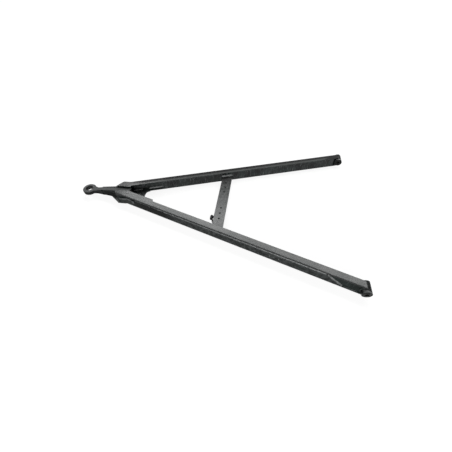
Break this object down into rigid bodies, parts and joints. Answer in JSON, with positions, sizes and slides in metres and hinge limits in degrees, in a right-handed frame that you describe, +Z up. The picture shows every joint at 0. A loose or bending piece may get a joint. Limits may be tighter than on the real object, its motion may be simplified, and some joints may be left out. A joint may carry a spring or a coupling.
{
  "type": "trailer drawbar",
  "caption": "V-shaped trailer drawbar: forged towing eye, box-section legs with a flat cross bar between them, and cross tubes at the rear that hinge it to a trailer.",
  "frame": {"origin": "on the axis of the towing eye's bore, at mid-height of the legs", "axes": "+X to the rear, from the eye towards the hinge tubes; +Y to the right of someone facing forward; +Z up, along the eye's bore"},
  "size_m": [2.0815, 1.306, 0.097],
  "materials": {
    "leg_paint": "worn satin paint",
    "bar_paint": "worn satin paint",
    "forged_steel": "worn paint on forged steel",
    "bush_steel": "worn bright steel",
    "sleeve_steel": "greased steel",
    "zinc_fasteners": "dull zinc",
    "nipple_steel": "zinc",
    "hook_steel": "black paint"
  },
  "bodies": {
    "drawbar": {"bottom_plate": "leg_paint", "cross_bar": "bar_paint", "eye_bush": "bush_steel", "grease_nipples": "nipple_steel", "hook_bolt": "hook_steel", "hook_lug": "hook_steel", "hook_nut": "hook_steel", "left_bottom_flange": "leg_paint", "left_cheek": "leg_paint", "left_inner_plate": "leg_paint", "left_nose_front": "leg_paint", "left_nose_rib": "leg_paint", "left_outer_strip": "leg_paint", "left_outer_web": "leg_paint", "left_pivot_bush": "bush_steel", "left_pivot_tube": "leg_paint", "left_shank_gusset": "leg_paint", "left_top_flange": "leg_paint", "right_bottom_flange": "leg_paint", "right_cheek": "leg_paint", "right_inner_plate": "leg_paint", "right_nose_front": "leg_paint", "right_nose_rib": "leg_paint", "right_outer_strip": "leg_paint", "right_outer_web": "leg_paint", "right_pivot_bush": "bush_steel", "right_pivot_tube": "leg_paint", "right_shank_gusset": "leg_paint", "right_top_flange": "leg_paint", "strip_bolts": "zinc_fasteners", "strip_nuts": "zinc_fasteners", "strip_washers": "zinc_fasteners", "towing_eye": "forged_steel"},
    "left_sleeve": {"left_pivot_sleeve": "sleeve_steel"},
    "right_sleeve": {"right_pivot_sleeve": "sleeve_steel"},
    "hook": {"storage_hook": "hook_steel"}
  },
  "joints": [
    {"name": "left_sleeve_turn", "type": "hinge", "parent": "drawbar", "child": "left_sleeve", "pos_m": [2, -0.612, 0], "axis": [0, 1, 0], "range_deg": [-85, 30]},
    {"name": "right_sleeve_turn", "type": "hinge", "parent": "drawbar", "child": "right_sleeve", "pos_m": [2, 0.612, 0], "axis": [0, 1, 0], "range_deg": [-85, 30]},
    {"name": "hook_swing", "type": "hinge", "parent": "drawbar", "child": "hook", "pos_m": [1.0225, -0.184, 0.001], "axis": [0, 1, 0], "range_deg": [-30, 110]}
  ],
  "couplings": [
    {"joint": "right_sleeve_turn", "follows": "left_sleeve_turn", "ratio": 1}
  ]
}
